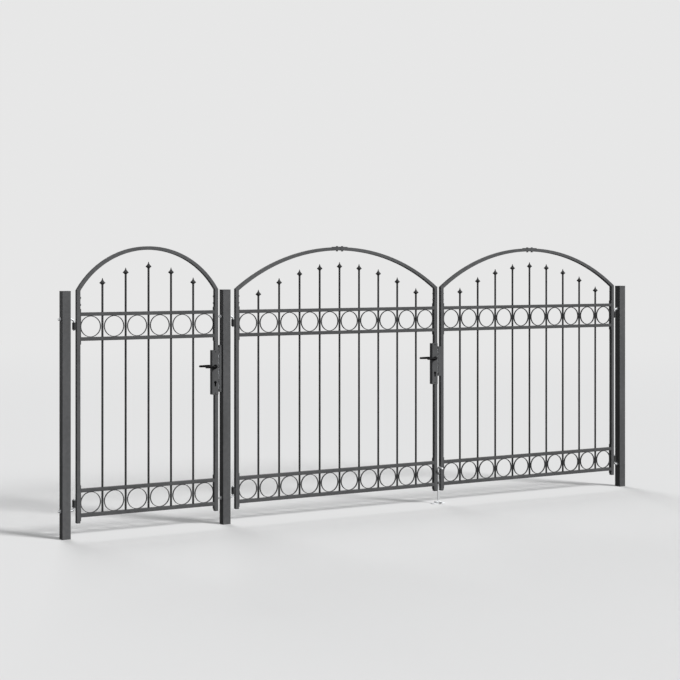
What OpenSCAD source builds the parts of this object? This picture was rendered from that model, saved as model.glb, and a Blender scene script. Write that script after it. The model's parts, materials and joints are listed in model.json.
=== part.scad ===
// Arched steel driveway gate: two driveway leaves and a side gate, hung on three square posts.
// The gates stand along the X axis. The street is on the -Y side, and the leaves open towards +Y.
// The origin is the middle of the middle post's foot, at ground level.

/* [Layout] */
// Clear width between the left post and the middle post
side_opening = 923; // [760:1:1200]
// Clear width between the middle post and the right post
drive_opening = 2928; // [2400:1:3600]
// Gap between a hinge post and its leaf
hinge_gap = 38; // [36:1:60]
// Gap between the side gate and the post that it latches on
latch_gap = 24; // [22:1:34]
// Gap between the two driveway leaves
meeting_gap = 26; // [24:1:34]
// Gap that moving pieces keep from what they close against
close_gap = 5.5; // [5:0.5:8]

/* [Posts] */
// Side of a square post
post_w = 50; // [40:5:100]
// Radius of a post's corners
post_corner = 3; // [1:0.5:10]
// How far a capped post ends under the leaves' shoulders
post_drop = 3; // [0:1:60]
// Thickness of a post cap
cap_t = 3; // [2:0.5:10]
// How far a cap stands out from the post all round
cap_lip = 0.5; // [0:0.5:10]

/* [Leaf frames] */
// Width of a stile, seen from the street
stile_w = 22; // [20:1:40]
// Depth of the stiles, rails and arches
frame_d = 25; // [20:1:40]
// Radius of the corners of the stiles, rails and arches
tube_corner = 2; // [0.5:0.5:6]
// Width of the bevel along the corners of an arch's bent tube
bend_bevel = 1.2; // [0.5:0.1:3]
// Height of the stiles' feet above the ground
leaf_z = 84; // [40:1:150]
// Height of the leaves' shoulders, where the arches spring from the stiles
spring_z = 1374; // [1100:1:1800]
// Height of a rail
rail_h = 20; // [15:1:40]
// Thickness of an arch tube, along its radius
arch_t = 20; // [15:1:40]
// Rise of the side gate's arch above its stiles
side_rise = 247; // [150:1:400]
// Rise of a driveway leaf's arch above its stiles
drive_rise = 249; // [150:1:400]

/* [Ring bands] */
// Distance from the stiles' feet up to the lower band
lower_band_up = 29; // [26:1:200]
// Distance from the leaves' shoulders down to the upper band
upper_band_drop = 123; // [60:1:300]
// Outer diameter of a ring, which is also the clear height between a band's rails
ring_od = 118; // [80:1:160]
// Thickness of a ring's strip
ring_t = 3; // [2:0.5:8]
// Depth of a ring's strip
ring_d = 10; // [6:1:20]
// Least gap between a ring and the bars beside it
ring_gap = 3.5; // [2:0.5:20]
// How deep the weld sets a ring into its rails
ring_weld = 0.4; // [0.2:0.1:1]
// Thickness of the strip that closes each end of a band
end_strip_t = 3; // [2:0.5:6]
// How far a strip passes over and under its band, for the bolts that hold it
end_strip_over = 20; // [0:1:25]

/* [Spear bars] */
// Diameter of a bar
bar_d = 12; // [8:1:20]
// Distance from the top of the side gate's arch down to its middle spear tip
side_tip_drop = 88; // [60:1:200]
// Fall from the side gate's middle tip to its outer tips
side_tip_fall = 91; // [0:1:150]
// How the side gate's tips curve: 1 is a straight slope and 2 is an arc
side_tip_curve = 1.46; // [1:0.01:2.5]
// Distance from the top of a driveway arch down to its middle spear tip
drive_tip_drop = 91; // [60:1:200]
// Fall from a driveway leaf's middle tip to its outer tips
drive_tip_fall = 164; // [0:1:200]
// How a driveway leaf's tips curve: 1 is a straight slope and 2 is an arc
drive_tip_curve = 1.87; // [1:0.01:2.5]
// Widest diameter of a spear head
spear_d = 33; // [20:1:50]
// Height of a spear head, from its neck to its tip
spear_h = 37; // [25:1:60]
// Wall of a spear head's socket
socket_wall = 1.5; // [1:0.5:4]
// Depth of a spear head's socket
socket_depth = 12; // [6:1:20]
// Radial clearance of a bar in its socket
socket_fit = 0.1; // [0.05:0.05:0.3]

/* [Arch joint] */
// Length of the strap that joins the halves of a driveway arch
strap_l = 98; // [60:1:160]
// Thickness of the strap
strap_t = 3; // [2:0.5:8]
// Distance between the strap's two bolts
strap_pitch = 36; // [24:1:80]
// Diameter of the strap's bolts
strap_bolt_d = 8; // [5:1:12]
// Radial clearance of those bolts in the arch
strap_bolt_fit = 0.3; // [0.1:0.1:1]
// Gap between the two halves of an arch
arch_seam = 1; // [0.5:0.5:4]

/* [Hinges] */
// Diameter of a hinge pin and its stud
pin_d = 12; // [10:1:20]
// Bend radius of a hinge pin, along its middle
pin_bend = 18; // [10:1:18]
// Width of a hinge barrel, out from the stile
barrel_w = 22; // [18:1:30]
// Length of a hinge barrel
barrel_h = 40; // [30:1:80]
// Radial play between a pin and its barrel
pin_play = 0.1; // [0.05:0.05:0.5]
// Distance from a stud's middle to its barrel
stud_drop = 18; // [18:1:40]
// Distance from the leaves' shoulders down to the top hinge studs
top_stud_drop = 160; // [60:1:300]
// Height of the bottom hinge studs
low_stud_z = 153; // [100:1:400]
// How far a pin passes out of its barrel
pin_end = 6; // [3:1:15]
// How far a stud passes out of its far nut
stud_end = 9; // [3:1:10]
// Thickness of a hinge nut
nut_h = 6; // [5:1:7]
// Radial clearance between a nut and its stud
nut_fit = 0.05; // [0.05:0.05:0.2]

/* [Locks] */
// Width of a lock case
case_w = 40; // [36:1:60]
// Depth of a lock case
case_d = 30; // [28:1:60]
// Height of a lock case
case_h = 258; // [220:1:300]
// Distance from the upper band down to the lever's spindle
spindle_drop = 170; // [140:1:400]
// Distance from the foot of the lock case up to the spindle
spindle_up = 163; // [130:1:200]
// Distance from the spindle down to the lock cylinder
cylinder_drop = 92; // [60:1:110]
// Diameter of the spindle
spindle_d = 9; // [7:1:12]
// Radial play of the spindle and the lever's neck
spindle_play = 0.3; // [0.2:0.1:0.6]
// Diameter of a lever's rose
rose_d = 24; // [18:1:36]
// Thickness of a lever's rose
rose_t = 5; // [3:1:10]
// Diameter of a lever's neck
neck_d = 14; // [10:1:18]
// Distance from the case's face to the middle of the lever's arm
lever_out = 30; // [28:1:60]
// Bend radius between a lever's neck and its arm, along its middle
lever_bend = 20; // [10:1:20]
// Length of a lever, from the spindle to its end
lever_l = 80; // [60:1:150]
// Diameter of a lever's arm at its end
lever_end_d = 9; // [6:1:14]
// Diameter of the lock cylinder's round part
cylinder_d = 17; // [15:1:20]
// Width of the lock cylinder's flat part
cylinder_w = 10; // [8:1:12]
// Height of the lock cylinder
cylinder_h = 33; // [28:1:36]
// How far the lock cylinder sits back from the case's faces
cylinder_inset = 1; // [0.5:0.5:3]
// Distance from the foot of the side gate's strike box up to the spindle
side_strike_up = 148; // [80:1:200]
// Height of the side gate's strike box
side_strike_h = 272; // [150:1:320]
// Distance from the foot of the driveway strike box up to the spindle
drive_strike_up = 112; // [80:1:200]
// Height of the driveway strike box
drive_strike_h = 186; // [150:1:320]

/* [Drop bolt] */
// Diameter of the drop bolt
bolt_d = 10; // [8:1:14]
// Height of the drop bolt's arm
bolt_arm_z = 231; // [180:1:600]
// Bend radius of the drop bolt, along its middle
bolt_bend = 10; // [8:1:20]
// Slope of the arm below the level
bolt_slope = 10; // [0:1:30]
// Length of the arm beyond its bend
bolt_arm_l = 34; // [30:1:80]
// Diameter of the ball on the arm
bolt_ball_d = 15; // [13:1:25]
// Height of the bolt's foot above the floor keeper, as it is drawn
bolt_lift = 5; // [5:1:10]
// Radial play of the bolt in its guides
bolt_play = 0.3; // [0.2:0.1:0.6]
// Wall of a guide around the bolt
guide_wall = 3; // [2:0.5:6]
// Height of a guide
guide_h = 14; // [8:1:30]
// Height of the lower guide's underside
low_guide_z = 124; // [90:1:200]
// Height of the upper guide's underside
top_guide_z = 184; // [150:1:400]
// Width of the floor keeper
keeper_w = 92; // [70:1:140]
// Depth of the floor keeper
keeper_d = 40; // [25:1:60]
// Height of the floor keeper's bridge
keeper_h = 12; // [10:1:30]
// Outer width of the floor keeper's bridge
keeper_bridge_w = 32; // [24:1:50]
// Thickness of the floor keeper's strip
keeper_t = 3; // [2:0.5:5]
// Radial play of the drop bolt in the floor keeper
keeper_play = 2.5; // [2:0.5:4]
// Diameter of the floor keeper's screw holes
screw_hole_d = 7; // [4:0.5:10]
// Distance between the floor keeper's screw holes
screw_pitch = 66; // [50:1:100]

/* [Hidden] */

$fn = 64;
arch_fn = 180;
cut = 1;

// Nuts and bolt heads: width across flats and height, as shares of the thread
hex_across = 1.6;
head_share = 0.6;

// Slope of a nut's eased corners, in degrees
nut_slope = 28;

// How far an arch's blank turns on past its shoulders before it is cut, in degrees
mitre_reach = 1.5;

// Shape of a spear head: shares of its radius out and of its height down
tip_out = 0.12;
tip_down = 0.03;
shoulder_out = 0.9;
shoulder_down = 0.65;
rim_share = 0.11;
rim_turn = 1.8;
under_out = 0.76;
point_curve = 0.85;
neck_down = 0.95;

steel = "#55585b";
zinc = "#b9bcbe";
black = "#1c1d1f";

// Places of the posts and leaves along the gate line
left_post_x = -side_opening - post_w;
right_post_x = drive_opening + post_w;
side_w = side_opening - hinge_gap - latch_gap;
drive_w = (drive_opening - 2 * hinge_gap - meeting_gap) / 2;
side_x = left_post_x + post_w / 2 + hinge_gap;
left_x = post_w / 2 + hinge_gap;
right_x = right_post_x - post_w / 2 - hinge_gap;
meeting_x = right_x - drive_w;
pin_to_post = hinge_gap - barrel_w / 2;

// Heights, measured from the leaves' feet and shoulders
post_h = spring_z - post_drop - cap_t;
lower_band_z = leaf_z + lower_band_up;
top_stud_z = spring_z - top_stud_drop;
band_h = 2 * rail_h + ring_od;
upper_band_z = spring_z - upper_band_drop - band_h;
side_tip_z = spring_z + side_rise - side_tip_drop;
drive_tip_z = spring_z + drive_rise - drive_tip_drop;
spindle_z = upper_band_z - spindle_drop;
case_z = spindle_z - spindle_up;
side_strike_z = spindle_z - side_strike_up;
drive_strike_z = spindle_z - drive_strike_up;

// The drop bolt fills the gap between the leaves, but for what the left leaf needs
bolt_x = meeting_x - meeting_gap + close_gap + guide_wall + bolt_play + bolt_d / 2;
guide_out = meeting_gap - close_gap;
bolt_foot_z = keeper_h + bolt_lift;

// As many bays as leave room for the rings between the bars
function bay_count(w) =
    floor((w - 2 * stile_w + bar_d) / (ring_od + 2 * ring_gap + bar_d));
function bay_pitch(w) = (w - 2 * stile_w + bar_d) / bay_count(w);
function bar_x(w, i) = stile_w - bar_d / 2 + i * bay_pitch(w);
function bay_x(w, i) = bar_x(w, i + 0.5);
function tip_fall(w, x, fall, curve) =
    fall * pow(abs(x - w / 2) / (w / 2 - bar_x(w, 1)), curve);

// The arch is a circle through the stiles' outer top corners
function arch_r(w, rise) = (w * w / 4 + rise * rise) / (2 * rise);
function arch_z(rise) = spring_z + rise;
function arch_mid_z(w, rise) = arch_z(rise) - arch_r(w, rise);
function mitre_z(w, rise) =
    arch_mid_z(w, rise) + sqrt(pow(arch_r(w, rise) - arch_t, 2) - pow(w / 2 - stile_w, 2));
function mitre_point(w, rise, x) = [x, spring_z + (mitre_z(w, rise) - spring_z) * x / stile_w];

// Points from a to b on an arc of radius r, turning anticlockwise
function arc_between(a, b, r, n) =
    let (
        d = b - a,
        l = norm(d),
        c = (a + b) / 2 + sqrt(r * r - l * l / 4) * [-d[1], d[0]] / l,
        start = atan2(a[1] - c[1], a[0] - c[0]),
        turn = 2 * asin(l / (2 * r))
    )
    [for (i = [0:n]) c + r * [cos(start + turn * i / n), sin(start + turn * i / n)]];
function mirrored_x(w, point) = [w - point[0], point[1]];
function backwards(list) = [for (i = [len(list) - 1:-1:0]) list[i]];

// Shared shapes

// A rectangle with its corners cut off, about the origin
module bevelled(w, d, b) {
    polygon([
        [w / 2 - b, -d / 2], [w / 2, b - d / 2], [w / 2, d / 2 - b], [w / 2 - b, d / 2],
        [b - w / 2, d / 2], [-w / 2, d / 2 - b], [-w / 2, b - d / 2], [b - w / 2, -d / 2],
    ]);
}

// A rectangle with round corners, about the origin
module rounded(w, d, r) {
    square([w - 2 * r, d], center = true);
    square([w, d - 2 * r], center = true);
    for (x = [-1, 1], y = [-1, 1])
        translate([x * (w / 2 - r), y * (d / 2 - r)])
            circle(r = r);
}

// A round bar along X, from x0 to x1
module bar_along_x(x0, x1, r) {
    translate([x0, 0, 0])
        rotate([0, 90, 0])
            cylinder(h = x1 - x0, r = r);
}

// A round bar along Y, from y0 to y1
module bar_along_y(y0, y1, r) {
    translate([0, y1, 0])
        rotate([90, 0, 0])
            cylinder(h = y1 - y0, r = r);
}

// An outline in X and Z, as thick as d about the gate line
module upright(d) {
    rotate([90, 0, 0])
        linear_extrude(height = d, center = true)
            children();
}

// A quarter bend from a bar that comes along X to one that goes down along Z through the origin's axis
module down_bend(bend, r) {
    translate([-bend, 0, -bend])
        rotate([90, 0, 0])
            rotate_extrude(angle = 90)
                translate([bend, 0])
                    circle(r = r);
}

// Half the outline of a disc whose rims slope away from a circle of the given diameter
module eased_disc(h, across) {
    r = across / 2;
    polygon([
        [0, 0], [r, 0], [2 * r, r * tan(nut_slope)],
        [2 * r, h - r * tan(nut_slope)], [r, h], [0, h],
    ]);
}

// A hexagonal nut or head along X, with its bore and with its corners sloped off at both ends
module hex_along_x(x0, h, across, bore) {
    difference() {
        translate([x0, 0, 0])
            rotate([0, 90, 0])
                intersection() {
                    cylinder(h = h, d = across / cos(30), $fn = 6);
                    rotate_extrude()
                        eased_disc(h, across);
                }
        bar_along_x(x0 - cut, x0 + h + cut, bore / 2);
    }
}

// Each leaf is drawn from its hinge edge at x = 0 to its other edge at x = w
module in_side_gate() {
    translate([side_x, 0, 0])
        children();
}
module in_left_leaf() {
    translate([left_x, 0, 0])
        children();
}
module in_right_leaf() {
    translate([right_x, 0, 0])
        mirror([1, 0, 0])
            children();
}

// Posts

// A square post, drilled for the studs of a leaf's two hinges
module post() {
    difference() {
        linear_extrude(height = post_h)
            rounded(post_w, post_w, post_corner);
        for (z = [low_stud_z, top_stud_z])
            translate([0, 0, z])
                bar_along_x(-post_w / 2 - cut, post_w / 2 + cut, pin_d / 2);
    }
}

module post_cap() {
    side = post_w + 2 * cap_lip;
    translate([0, 0, post_h])
        linear_extrude(height = cap_t)
            rounded(side, side, post_corner + cap_lip);
}

// Hinges: the pins hang on studs through the posts, and the barrels are on the leaves

module hinge_pin(up) {
    mirror([0, 0, up ? 1 : 0]) {
        bar_along_x(-pin_to_post - post_w - nut_h - stud_end, -pin_bend, pin_d / 2);
        down_bend(pin_bend, pin_d / 2);
        translate([0, 0, -stud_drop - barrel_h - pin_end])
            cylinder(h = stud_drop + barrel_h + pin_end - pin_bend, d = pin_d);
    }
}

// The top pin points down and the bottom pin points up, which keeps the leaf from being lifted off
module leaf_hinge_pins() {
    translate([-barrel_w / 2, 0, top_stud_z])
        hinge_pin(up = false);
    translate([-barrel_w / 2, 0, low_stud_z])
        hinge_pin(up = true);
}

module hinge_nut_pairs() {
    for (z = [low_stud_z, top_stud_z])
        translate([-barrel_w / 2 - pin_to_post, 0, z]) {
            hex_along_x(0, nut_h, hex_across * pin_d, pin_d + 2 * nut_fit);
            hex_along_x(-post_w - nut_h, nut_h, hex_across * pin_d, pin_d + 2 * nut_fit);
        }
}

module hinge_barrel() {
    difference() {
        linear_extrude(height = barrel_h)
            union() {
                circle(d = barrel_w);
                translate([0, -barrel_w / 2])
                    square([barrel_w / 2, barrel_w]);
            }
        translate([0, 0, -cut])
            cylinder(h = barrel_h + 2 * cut, r = pin_d / 2 + pin_play);
    }
}

module hinge_barrels() {
    translate([-barrel_w / 2, 0, top_stud_z - stud_drop - barrel_h])
        hinge_barrel();
    translate([-barrel_w / 2, 0, low_stud_z + stud_drop])
        hinge_barrel();
}

// Leaf frames

module stile_stub(z0, z1) {
    translate([stile_w / 2, 0, z0])
        linear_extrude(height = z1 - z0)
            rounded(stile_w, frame_d, tube_corner);
}

// A stile from z0 to the arch, cut to the arch's mitre at its top
module stile(w, rise, z0) {
    intersection() {
        stile_stub(z0, spring_z + stile_w);
        upright(2 * frame_d)
            polygon([
                [-arch_t, z0 - cut], [2 * stile_w, z0 - cut],
                mitre_point(w, rise, 2 * stile_w), mitre_point(w, rise, -arch_t),
            ]);
    }
}

module at_far_edge(w) {
    translate([w, 0, 0])
        mirror([1, 0, 0])
            children();
}

module lock_side_stile(w, rise) {
    at_far_edge(w) {
        stile_stub(leaf_z, case_z);
        stile(w, rise, case_z + case_h);
    }
}

// A tube bent to the arch's circle, ending on the mitres
module whole_arch(w, rise) {
    r = arch_r(w, rise);
    reach = asin(w / 2 / r) + mitre_reach;
    top = arch_z(rise) + cut;
    intersection() {
        translate([w / 2, 0, arch_mid_z(w, rise)])
            rotate([90, reach - 90, 0])
                rotate_extrude(angle = 2 * reach, $fn = arch_fn)
                    translate([r - arch_t / 2, 0])
                        bevelled(arch_t, frame_d, bend_bevel);
        upright(2 * frame_d)
            polygon([
                mitre_point(w, rise, -arch_t), mitre_point(w, rise, 2 * stile_w),
                mirrored_x(w, mitre_point(w, rise, 2 * stile_w)),
                mirrored_x(w, mitre_point(w, rise, -arch_t)),
                [w + arch_t, top], [-arch_t, top],
            ]);
    }
}

module strap_bolt_places(w) {
    for (side = [-1, 1])
        translate([w / 2 + side * strap_pitch / 2, 0, 0])
            children();
}

// An arch in two halves, drilled for the bolts of its strap
module split_arch(w, rise) {
    difference() {
        whole_arch(w, rise);
        translate([w / 2 - arch_seam / 2, -frame_d, spring_z])
            cube([arch_seam, 2 * frame_d, rise + cut]);
        strap_bolt_places(w)
            translate([0, 0, arch_z(rise) - 2 * arch_t])
                cylinder(h = 3 * arch_t, r = strap_bolt_d / 2 + strap_bolt_fit);
    }
}

// The strap over the seam, with its two bolts and the nuts under the arch
module arch_joint(w, rise) {
    r = arch_r(w, rise);
    x = strap_pitch / 2;
    top_z = arch_mid_z(w, rise) + sqrt(r * r - x * x);
    under_z = arch_mid_z(w, rise) + sqrt(pow(r - arch_t, 2) - x * x);
    head_h = head_share * strap_bolt_d;
    head_d = hex_across * strap_bolt_d / cos(30);
    upright(frame_d)
        intersection() {
            translate([w / 2, arch_mid_z(w, rise)])
                difference() {
                    circle(r = r + strap_t, $fn = arch_fn);
                    circle(r = r, $fn = arch_fn);
                }
            translate([(w - strap_l) / 2, arch_z(rise) - arch_t])
                square([strap_l, 2 * arch_t]);
        }
    strap_bolt_places(w) {
        translate([0, 0, under_z - head_h])
            cylinder(h = top_z + strap_t - under_z + head_h, d = strap_bolt_d);
        translate([0, 0, top_z + strap_t - cut])
            cylinder(h = head_h, d = head_d, $fn = 6);
        translate([0, 0, under_z - head_h - cut])
            cylinder(h = head_h, d = head_d, $fn = 6);
    }
}

// Bands of rings

// Two rails with a ring welded between them in each bay, closed by a strip at each end
module ring_band(w, z) {
    inner_w = w - 2 * stile_w;
    difference() {
        union() {
            for (rail_z = [z, z + rail_h + ring_od])
                translate([stile_w, 0, rail_z + rail_h / 2])
                    rotate([90, 0, 90])
                        linear_extrude(height = inner_w)
                            rounded(frame_d, rail_h, tube_corner);
            for (x = [stile_w, w - stile_w - end_strip_t])
                translate([x, -frame_d / 2, z - end_strip_over])
                    cube([end_strip_t, frame_d, band_h + 2 * end_strip_over]);
            for (i = [0:bay_count(w) - 1])
                translate([bay_x(w, i), 0, z + rail_h + ring_od / 2])
                    ring();
        }
        for (i = [1:bay_count(w) - 1])
            translate([bar_x(w, i), 0, z - cut])
                cylinder(h = band_h + 2 * cut, d = bar_d);
    }
}

module ring() {
    difference() {
        bar_along_y(-ring_d / 2, ring_d / 2, ring_od / 2 + ring_weld);
        bar_along_y(-ring_d, ring_d, ring_od / 2 - ring_t);
    }
}

// Spear bars

// Half the outline of a spear head, with its tip at the origin and its socket below
module spear_outline() {
    r = spear_d / 2;
    rim = rim_share * spear_h;
    tip = [tip_out * r, -tip_down * spear_h];
    shoulder = [shoulder_out * r, -shoulder_down * spear_h];
    under = [under_out * r, shoulder[1] - rim_turn * rim];
    neck_r = bar_d / 2 + socket_fit + socket_wall;
    bore_r = bar_d / 2 + socket_fit;
    polygon(concat(
        [[0, 0]],
        arc_between(tip, shoulder, point_curve * spear_h, 5),
        backwards(arc_between(under, shoulder, rim, 4)),
        [[neck_r, -neck_down * spear_h], [neck_r, -spear_h], [bore_r, -spear_h]],
        [[bore_r, socket_depth - spear_h], [0, socket_depth - spear_h]]
    ));
}

// Every bar of a leaf stands on the lower band's underside and ends in its head's socket
module spear_bars(w, middle_z, fall, curve) {
    for (i = [1:bay_count(w) - 1]) {
        tip_z = middle_z - tip_fall(w, bar_x(w, i), fall, curve);
        translate([bar_x(w, i), 0, lower_band_z])
            cylinder(h = tip_z - spear_h + socket_depth - lower_band_z, d = bar_d);
    }
}

module spear_heads(w, middle_z, fall, curve) {
    for (i = [1:bay_count(w) - 1])
        translate([bar_x(w, i), 0, middle_z - tip_fall(w, bar_x(w, i), fall, curve)])
            rotate_extrude()
                spear_outline();
}

module drive_bars() {
    spear_bars(drive_w, drive_tip_z, drive_tip_fall, drive_tip_curve);
}

module drive_heads() {
    spear_heads(drive_w, drive_tip_z, drive_tip_fall, drive_tip_curve);
}

// Locks

// The outline of a lock cylinder, round at the top, with its top at the origin
module cylinder_outline() {
    translate([0, -cylinder_d / 2])
        circle(d = cylinder_d);
    translate([-cylinder_w / 2, cylinder_w / 2 - cylinder_h])
        square([cylinder_w, cylinder_h - cylinder_w / 2 - cylinder_d / 2]);
    translate([0, cylinder_w / 2 - cylinder_h])
        circle(d = cylinder_w);
}

module at_cylinder(w) {
    translate([w - case_w / 2, 0, spindle_z - cylinder_drop + cylinder_d / 2])
        children();
}

module lock_case(w) {
    difference() {
        translate([w - case_w, -case_d / 2, case_z])
            cube([case_w, case_d, case_h]);
        at_spindle(w)
            bar_along_y(-case_d, case_d, spindle_d / 2 + spindle_play);
        at_cylinder(w)
            upright(2 * case_d)
                cylinder_outline();
    }
}

module lock_cylinder(w) {
    at_cylinder(w)
        upright(case_d - 2 * cylinder_inset)
            cylinder_outline();
}

module at_spindle(w) {
    translate([w - case_w / 2, 0, spindle_z])
        children();
}

module lever_roses(w) {
    for (side = [0, 1])
        at_spindle(w)
            mirror([0, side, 0])
                difference() {
                    bar_along_y(case_d / 2, case_d / 2 + rose_t, rose_d / 2);
                    bar_along_y(0, case_d, neck_d / 2 + spindle_play);
                }
}

// One lever: a neck out of the case, a bend, and a tapered arm that points back over the leaf
module lever() {
    out = case_d / 2 + lever_out;
    bar_along_y(case_d / 2 + spindle_play, out - lever_bend, neck_d / 2);
    translate([-lever_bend, out - lever_bend, 0])
        rotate_extrude(angle = 90)
            translate([lever_bend, 0])
                circle(d = neck_d);
    translate([-lever_bend, out, 0]) {
        arm_l = lever_l - lever_bend - lever_end_d / 2;
        rotate([0, -90, 0])
            cylinder(h = arm_l, r1 = neck_d / 2, r2 = lever_end_d / 2);
        translate([-arm_l, 0, 0])
            sphere(d = lever_end_d);
    }
}

module levers(w) {
    at_spindle(w) {
        for (side = [0, 1])
            mirror([0, side, 0])
                lever();
        bar_along_y(-case_d, case_d, spindle_d / 2);
    }
}

// A strike box that fills a gap, but for the gap that the lock case needs
module strike_box(gap, z, h) {
    translate([0, -case_d / 2, z])
        cube([gap - close_gap, case_d, h]);
}

// Drop bolt, in the gap between the driveway leaves

module bolt_guide(z) {
    side = bolt_d + 2 * bolt_play + 2 * guide_wall;
    difference() {
        translate([meeting_x - guide_out, -side / 2, z])
            cube([guide_out, side, guide_h]);
        translate([bolt_x, 0, z - cut])
            cylinder(h = guide_h + 2 * cut, r = bolt_d / 2 + bolt_play);
    }
}

module drop_bolt_rod() {
    translate([bolt_x, 0, 0]) {
        translate([0, 0, bolt_foot_z])
            cylinder(h = bolt_arm_z - bolt_bend - bolt_foot_z, d = bolt_d);
        translate([0, -bolt_bend, bolt_arm_z - bolt_bend])
            rotate([90, 0, 90])
                rotate_extrude(angle = 90)
                    translate([bolt_bend, 0])
                        circle(d = bolt_d);
        translate([0, -bolt_bend, bolt_arm_z])
            rotate([bolt_slope, 0, 0]) {
                sphere(d = bolt_d);
                bar_along_y(-bolt_arm_l, 0, bolt_d / 2);
                translate([0, -bolt_arm_l, 0])
                    sphere(d = bolt_ball_d);
            }
    }
}

// A strip bent over a bridge, with a hole for the bolt and one screw hole in each foot
module keeper_body() {
    translate([bolt_x, 0, 0])
        difference() {
            upright(keeper_d)
                difference() {
                    union() {
                        translate([-keeper_w / 2, 0])
                            square([keeper_w, keeper_t]);
                        translate([-keeper_bridge_w / 2, 0])
                            square([keeper_bridge_w, keeper_h]);
                    }
                    translate([keeper_t - keeper_bridge_w / 2, -cut])
                        square([keeper_bridge_w - 2 * keeper_t, keeper_h - keeper_t + cut]);
                }
            cylinder(h = keeper_h + cut, r = bolt_d / 2 + keeper_play);
            for (side = [-1, 1])
                translate([side * screw_pitch / 2, 0, -cut])
                    cylinder(h = keeper_t + 2 * cut, d = screw_hole_d);
        }
}

// The named pieces

module left_post() { color(steel) translate([left_post_x, 0, 0]) post(); }
module middle_post() { color(steel) post(); }
module right_post() { color(steel) translate([right_post_x, 0, 0]) post(); }
module post_caps() {
    color(steel)
        for (x = [left_post_x, 0, right_post_x])
            translate([x, 0, 0])
                post_cap();
}
module hinge_pins() {
    color(zinc) {
        in_side_gate() leaf_hinge_pins();
        in_left_leaf() leaf_hinge_pins();
        in_right_leaf() leaf_hinge_pins();
    }
}
module hinge_nuts() {
    color(zinc) {
        in_side_gate() hinge_nut_pairs();
        in_left_leaf() hinge_nut_pairs();
        in_right_leaf() hinge_nut_pairs();
    }
}
module side_gate_strike() {
    color(steel)
        translate([-post_w / 2, 0, 0])
            mirror([1, 0, 0])
                strike_box(latch_gap, side_strike_z, side_strike_h);
}
module floor_keeper() { color(zinc) keeper_body(); }

module side_gate_hinge_stile() { color(steel) in_side_gate() stile(side_w, side_rise, leaf_z); }
module side_gate_latch_stile() { color(steel) in_side_gate() lock_side_stile(side_w, side_rise); }
module side_gate_arch() { color(steel) in_side_gate() whole_arch(side_w, side_rise); }
module side_gate_lower_band() { color(steel) in_side_gate() ring_band(side_w, lower_band_z); }
module side_gate_upper_band() { color(steel) in_side_gate() ring_band(side_w, upper_band_z); }
module side_gate_bars() {
    color(steel) in_side_gate() spear_bars(side_w, side_tip_z, side_tip_fall, side_tip_curve);
}
module side_gate_spear_heads() {
    color(steel) in_side_gate() spear_heads(side_w, side_tip_z, side_tip_fall, side_tip_curve);
}
module side_gate_hinge_barrels() { color(steel) in_side_gate() hinge_barrels(); }
module side_gate_lock_case() { color(steel) in_side_gate() lock_case(side_w); }
module side_gate_lock_cylinder() { color(black) in_side_gate() lock_cylinder(side_w); }
module side_gate_lever_roses() { color(black) in_side_gate() lever_roses(side_w); }
module side_gate_levers() { color(black) in_side_gate() levers(side_w); }

module left_leaf_hinge_stile() { color(steel) in_left_leaf() stile(drive_w, drive_rise, leaf_z); }
module left_leaf_lock_stile() { color(steel) in_left_leaf() lock_side_stile(drive_w, drive_rise); }
module left_leaf_arch() { color(steel) in_left_leaf() split_arch(drive_w, drive_rise); }
module left_leaf_arch_joint() { color(steel) in_left_leaf() arch_joint(drive_w, drive_rise); }
module left_leaf_lower_band() { color(steel) in_left_leaf() ring_band(drive_w, lower_band_z); }
module left_leaf_upper_band() { color(steel) in_left_leaf() ring_band(drive_w, upper_band_z); }
module left_leaf_bars() { color(steel) in_left_leaf() drive_bars(); }
module left_leaf_spear_heads() { color(steel) in_left_leaf() drive_heads(); }
module left_leaf_hinge_barrels() { color(steel) in_left_leaf() hinge_barrels(); }
module left_leaf_lock_case() { color(steel) in_left_leaf() lock_case(drive_w); }
module left_leaf_lock_cylinder() { color(black) in_left_leaf() lock_cylinder(drive_w); }
module left_leaf_lever_roses() { color(black) in_left_leaf() lever_roses(drive_w); }
module left_leaf_levers() { color(black) in_left_leaf() levers(drive_w); }

module right_leaf_hinge_stile() { color(steel) in_right_leaf() stile(drive_w, drive_rise, leaf_z); }
module right_leaf_meeting_stile() {
    color(steel) in_right_leaf() at_far_edge(drive_w) stile(drive_w, drive_rise, leaf_z);
}
module right_leaf_arch() { color(steel) in_right_leaf() split_arch(drive_w, drive_rise); }
module right_leaf_arch_joint() { color(steel) in_right_leaf() arch_joint(drive_w, drive_rise); }
module right_leaf_lower_band() { color(steel) in_right_leaf() ring_band(drive_w, lower_band_z); }
module right_leaf_upper_band() { color(steel) in_right_leaf() ring_band(drive_w, upper_band_z); }
module right_leaf_bars() { color(steel) in_right_leaf() drive_bars(); }
module right_leaf_spear_heads() { color(steel) in_right_leaf() drive_heads(); }
module right_leaf_hinge_barrels() { color(steel) in_right_leaf() hinge_barrels(); }
module right_leaf_strike() {
    color(steel)
        in_right_leaf()
            translate([drive_w, 0, 0])
                strike_box(meeting_gap, drive_strike_z, drive_strike_h);
}
module right_leaf_bolt_guides() {
    color(steel)
        for (z = [low_guide_z, top_guide_z])
            bolt_guide(z);
}
module drop_bolt() { color(zinc) drop_bolt_rod(); }

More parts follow.
